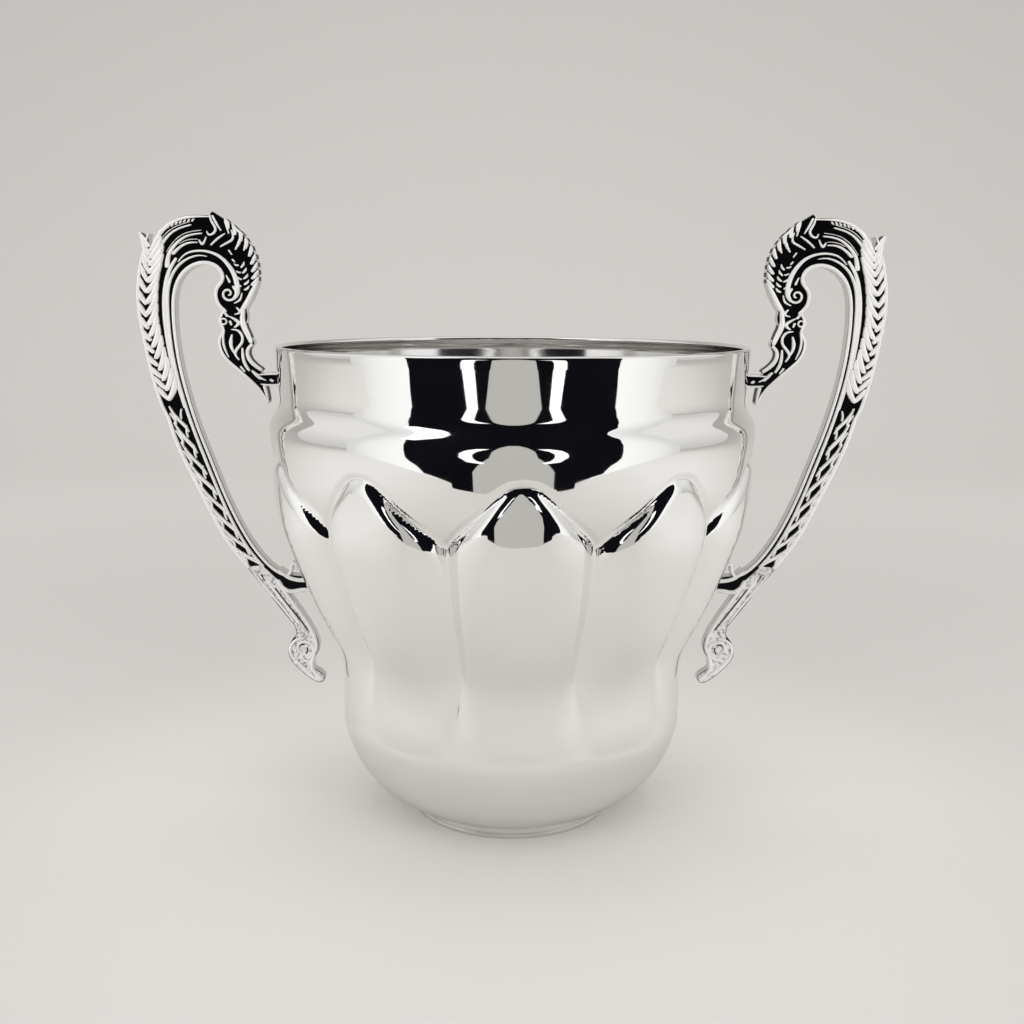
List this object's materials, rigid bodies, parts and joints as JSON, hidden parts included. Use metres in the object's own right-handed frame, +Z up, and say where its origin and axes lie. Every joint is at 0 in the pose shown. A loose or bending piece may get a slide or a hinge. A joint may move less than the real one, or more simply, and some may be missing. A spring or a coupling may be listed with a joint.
{
  "type": "cup trophy",
  "caption": "Two-handled presentation cup: a lobed, plated metal bowl on a low foot ring, with cast scroll and leaf handles screwed on from inside.",
  "frame": {"origin": "on the floor under the middle of the cup, at the bottom face of the foot ring", "axes": "+X through the handle on the picture's right, +Y away from the picture's viewer, +Z up"},
  "size_m": [0.2856, 0.1854, 0.2336],
  "materials": {
    "bowl": "mirror-polished silver plate",
    "foot_ring": "mirror-polished silver plate",
    "handle": "cast and plated, raised work polished, recesses blackened",
    "screw": "nickel-plated",
    "washer": "nickel-plated"
  },
  "bodies": {
    "root": {"bowl": "bowl", "foot_ring": "foot_ring", "left_handle": "handle", "right_handle": "handle", "left_upper_screw": "screw", "left_upper_washer": "washer", "left_lower_screw": "screw", "left_lower_washer": "washer", "right_upper_screw": "screw", "right_upper_washer": "washer", "right_lower_screw": "screw", "right_lower_washer": "washer"}
  },
  "joints": []
}
